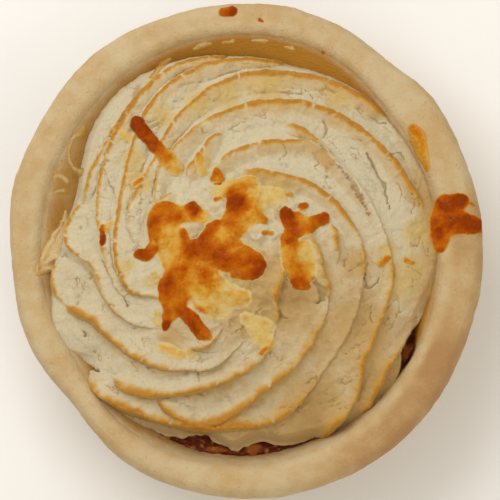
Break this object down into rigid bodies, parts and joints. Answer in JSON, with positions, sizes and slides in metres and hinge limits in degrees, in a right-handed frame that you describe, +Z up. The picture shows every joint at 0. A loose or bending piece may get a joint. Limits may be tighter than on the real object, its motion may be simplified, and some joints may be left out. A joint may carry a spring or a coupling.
{
  "type": "cottage pie",
  "caption": "Round open cottage pie: a thick pastry shell with a rolled rim, a mince filling, a piped swirl of browned mashed potato and scraps of melted cheese.",
  "frame": {"origin": "centre of the flat base, on the surface that the pie stands on", "axes": "+Z up; +Y towards the top of the picture and +X towards its right"},
  "size_m": [0.1216, 0.1244, 0.0484],
  "materials": {
    "pastry": "dry, fine-grained baked shortcrust",
    "mince": "glossy dark gravy over minced meat",
    "mash": "dry mashed potato with browned crests",
    "cheese": "melted and browned, oily gloss"
  },
  "bodies": {
    "root": {"pastry_shell": "pastry", "mince_filling": "mince", "mash_swirl": "mash", "cheese_melt": "cheese", "cheese_knot": "cheese", "cheese_stick": "cheese", "cheese_rim_patch": "cheese", "cheese_rim_drip": "cheese", "cheese_rim_spot": "cheese"}
  },
  "joints": []
}
